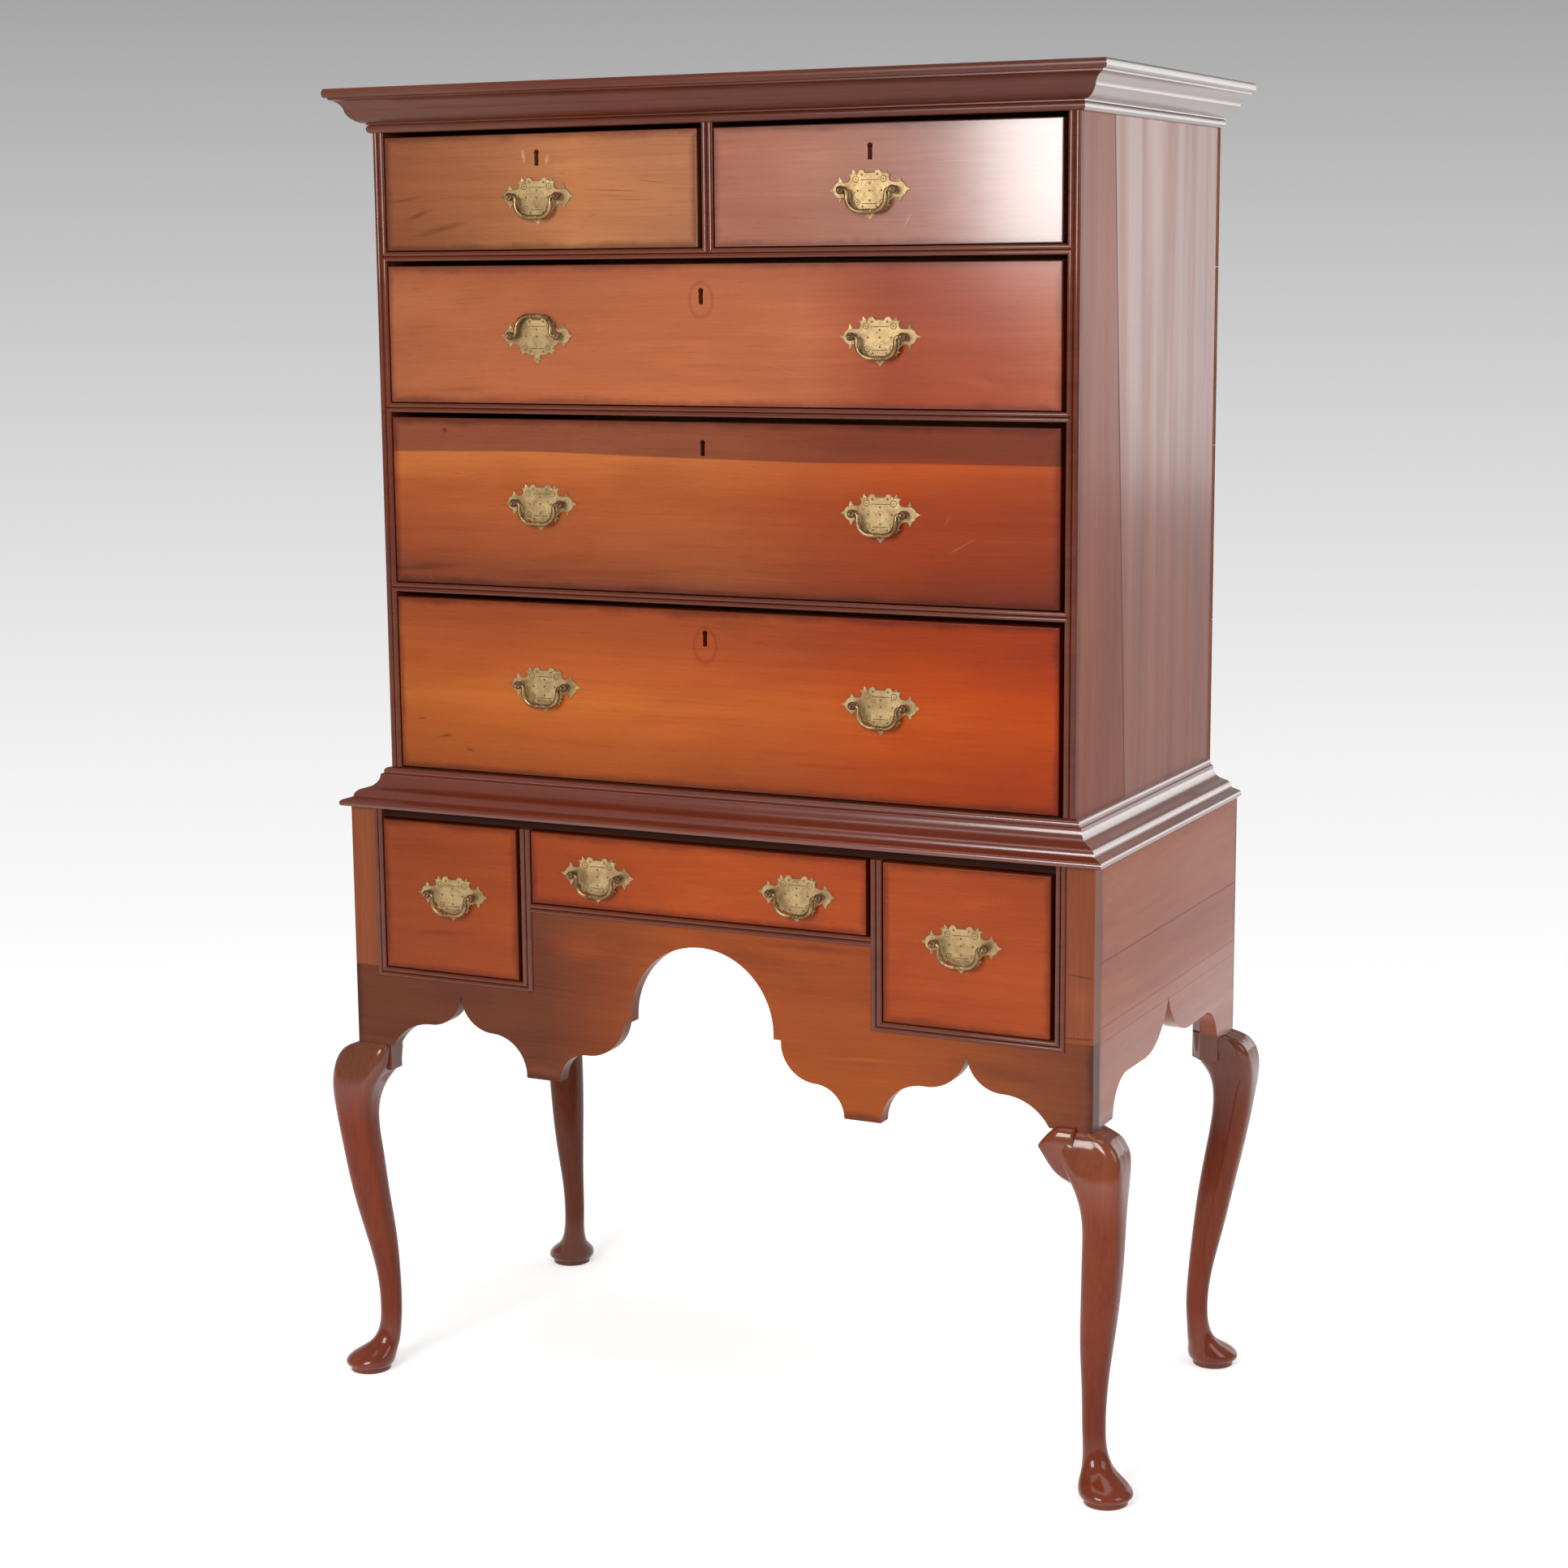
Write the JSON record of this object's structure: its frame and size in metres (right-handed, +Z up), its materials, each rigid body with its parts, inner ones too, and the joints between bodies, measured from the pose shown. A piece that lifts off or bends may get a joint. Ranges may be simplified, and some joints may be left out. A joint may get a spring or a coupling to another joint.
{
  "type": "highboy",
  "caption": "Flat-top cherry highboy: short and long drawers over a scroll-cut lower case on four cabriole legs, with batwing brass pulls.",
  "frame": {"origin": "on the floor, under the middle of the lower case; the middle of the outline box in plan", "axes": "+Z up, +X to the right of someone who faces the drawers, -Y out of the drawer fronts; +Y towards the wall"},
  "size_m": [1.0794, 0.5626, 1.629],
  "materials": {
    "case_wood": "satin",
    "drawer_wood": "gloss",
    "pine": "matte",
    "brass": "worn",
    "iron": "matte"
  },
  "bodies": {
    "case": {"leg_front_left": "case_wood", "leg_front_right": "case_wood", "leg_back_left": "case_wood", "leg_back_right": "case_wood", "front_skirt": "case_wood", "lower_side_left": "case_wood", "lower_side_right": "case_wood", "front_uprights": "case_wood", "lower_back": "pine", "lower_top_board": "pine", "drawer_supports": "pine", "upper_side_left": "case_wood", "upper_side_right": "case_wood", "upper_top_and_bottom": "pine", "upper_back": "pine", "upper_rails": "case_wood", "waist_moulding": "case_wood", "cornice": "case_wood", "bead_mouldings": "case_wood"},
    "drawer_short_left": {"drawer_short_left_front": "drawer_wood", "drawer_short_left_box": "pine", "pulls_short_left": "brass", "lock_short_left": "iron"},
    "bail_short_left": {"bail_short_left": "brass"},
    "drawer_short_right": {"drawer_short_right_front": "drawer_wood", "drawer_short_right_box": "pine", "pulls_short_right": "brass", "lock_short_right": "iron"},
    "bail_short_right": {"bail_short_right": "brass"},
    "drawer_long_top": {"drawer_long_top_front": "drawer_wood", "drawer_long_top_box": "pine", "pulls_long_top": "brass", "lock_long_top": "iron"},
    "bail_long_top_left": {"bail_long_top_left": "brass"},
    "bail_long_top_right": {"bail_long_top_right": "brass"},
    "drawer_long_middle": {"drawer_long_middle_front": "drawer_wood", "drawer_long_middle_box": "pine", "pulls_long_middle": "brass", "lock_long_middle": "iron"},
    "bail_long_middle_left": {"bail_long_middle_left": "brass"},
    "bail_long_middle_right": {"bail_long_middle_right": "brass"},
    "drawer_long_bottom": {"drawer_long_bottom_front": "drawer_wood", "drawer_long_bottom_box": "pine", "pulls_long_bottom": "brass", "lock_long_bottom": "iron"},
    "bail_long_bottom_left": {"bail_long_bottom_left": "brass"},
    "bail_long_bottom_right": {"bail_long_bottom_right": "brass"},
    "drawer_lower_left": {"drawer_lower_left_front": "drawer_wood", "drawer_lower_left_box": "pine", "pulls_lower_left": "brass"},
    "bail_lower_left": {"bail_lower_left": "brass"},
    "drawer_lower_centre": {"drawer_lower_centre_front": "drawer_wood", "drawer_lower_centre_box": "pine", "pulls_lower_centre": "brass"},
    "bail_lower_centre_left": {"bail_lower_centre_left": "brass"},
    "bail_lower_centre_right": {"bail_lower_centre_right": "brass"},
    "drawer_lower_right": {"drawer_lower_right_front": "drawer_wood", "drawer_lower_right_box": "pine", "pulls_lower_right": "brass"},
    "bail_lower_right": {"bail_lower_right": "brass"}
  },
  "joints": [
    {"name": "slide_short_left", "type": "slide", "parent": "case", "child": "drawer_short_left", "axis": [0, -1, 0], "range_m": [0, 0.35]},
    {"name": "hinge_bail_short_left", "type": "hinge", "parent": "drawer_short_left", "child": "bail_short_left", "pos_m": [-0.227, -0.2345, 1.4975], "axis": [1, 0, 0], "range_deg": [-190, 10]},
    {"name": "slide_short_right", "type": "slide", "parent": "case", "child": "drawer_short_right", "axis": [0, -1, 0], "range_m": [0, 0.35]},
    {"name": "hinge_bail_short_right", "type": "hinge", "parent": "drawer_short_right", "child": "bail_short_right", "pos_m": [0.206, -0.2345, 1.4975], "axis": [1, 0, 0], "range_deg": [-190, 10]},
    {"name": "slide_long_top", "type": "slide", "parent": "case", "child": "drawer_long_top", "axis": [0, -1, 0], "range_m": [0, 0.35]},
    {"name": "hinge_bail_long_top_left", "type": "hinge", "parent": "drawer_long_top", "child": "bail_long_top_left", "pos_m": [-0.231, -0.2345, 1.3345], "axis": [1, 0, 0], "range_deg": [0, 200]},
    {"name": "hinge_bail_long_top_right", "type": "hinge", "parent": "drawer_long_top", "child": "bail_long_top_right", "pos_m": [0.218, -0.2345, 1.3345], "axis": [1, 0, 0], "range_deg": [-190, 10]},
    {"name": "slide_long_middle", "type": "slide", "parent": "case", "child": "drawer_long_middle", "axis": [0, -1, 0], "range_m": [0, 0.35]},
    {"name": "hinge_bail_long_middle_left", "type": "hinge", "parent": "drawer_long_middle", "child": "bail_long_middle_left", "pos_m": [-0.231, -0.2345, 1.1345], "axis": [1, 0, 0], "range_deg": [-190, 10]},
    {"name": "hinge_bail_long_middle_right", "type": "hinge", "parent": "drawer_long_middle", "child": "bail_long_middle_right", "pos_m": [0.218, -0.2345, 1.1345], "axis": [1, 0, 0], "range_deg": [-190, 10]},
    {"name": "slide_long_bottom", "type": "slide", "parent": "case", "child": "drawer_long_bottom", "axis": [0, -1, 0], "range_m": [0, 0.35]},
    {"name": "hinge_bail_long_bottom_left", "type": "hinge", "parent": "drawer_long_bottom", "child": "bail_long_bottom_left", "pos_m": [-0.231, -0.2345, 0.9125], "axis": [1, 0, 0], "range_deg": [-190, 10]},
    {"name": "hinge_bail_long_bottom_right", "type": "hinge", "parent": "drawer_long_bottom", "child": "bail_long_bottom_right", "pos_m": [0.218, -0.2345, 0.9125], "axis": [1, 0, 0], "range_deg": [-190, 10]},
    {"name": "slide_lower_left", "type": "slide", "parent": "case", "child": "drawer_lower_left", "axis": [0, -1, 0], "range_m": [0, 0.36]},
    {"name": "hinge_bail_lower_left", "type": "hinge", "parent": "drawer_lower_left", "child": "bail_lower_left", "pos_m": [-0.347, -0.2725, 0.6495], "axis": [1, 0, 0], "range_deg": [-190, 10]},
    {"name": "slide_lower_centre", "type": "slide", "parent": "case", "child": "drawer_lower_centre", "axis": [0, -1, 0], "range_m": [0, 0.36]},
    {"name": "hinge_bail_lower_centre_left", "type": "hinge", "parent": "drawer_lower_centre", "child": "bail_lower_centre_left", "pos_m": [-0.14, -0.2725, 0.6905], "axis": [1, 0, 0], "range_deg": [-190, 10]},
    {"name": "hinge_bail_lower_centre_right", "type": "hinge", "parent": "drawer_lower_centre", "child": "bail_lower_centre_right", "pos_m": [0.127, -0.2725, 0.6905], "axis": [1, 0, 0], "range_deg": [-190, 10]},
    {"name": "slide_lower_right", "type": "slide", "parent": "case", "child": "drawer_lower_right", "axis": [0, -1, 0], "range_m": [0, 0.36]},
    {"name": "hinge_bail_lower_right", "type": "hinge", "parent": "drawer_lower_right", "child": "bail_lower_right", "pos_m": [0.335, -0.2725, 0.6495], "axis": [1, 0, 0], "range_deg": [-190, 10]}
  ]
}
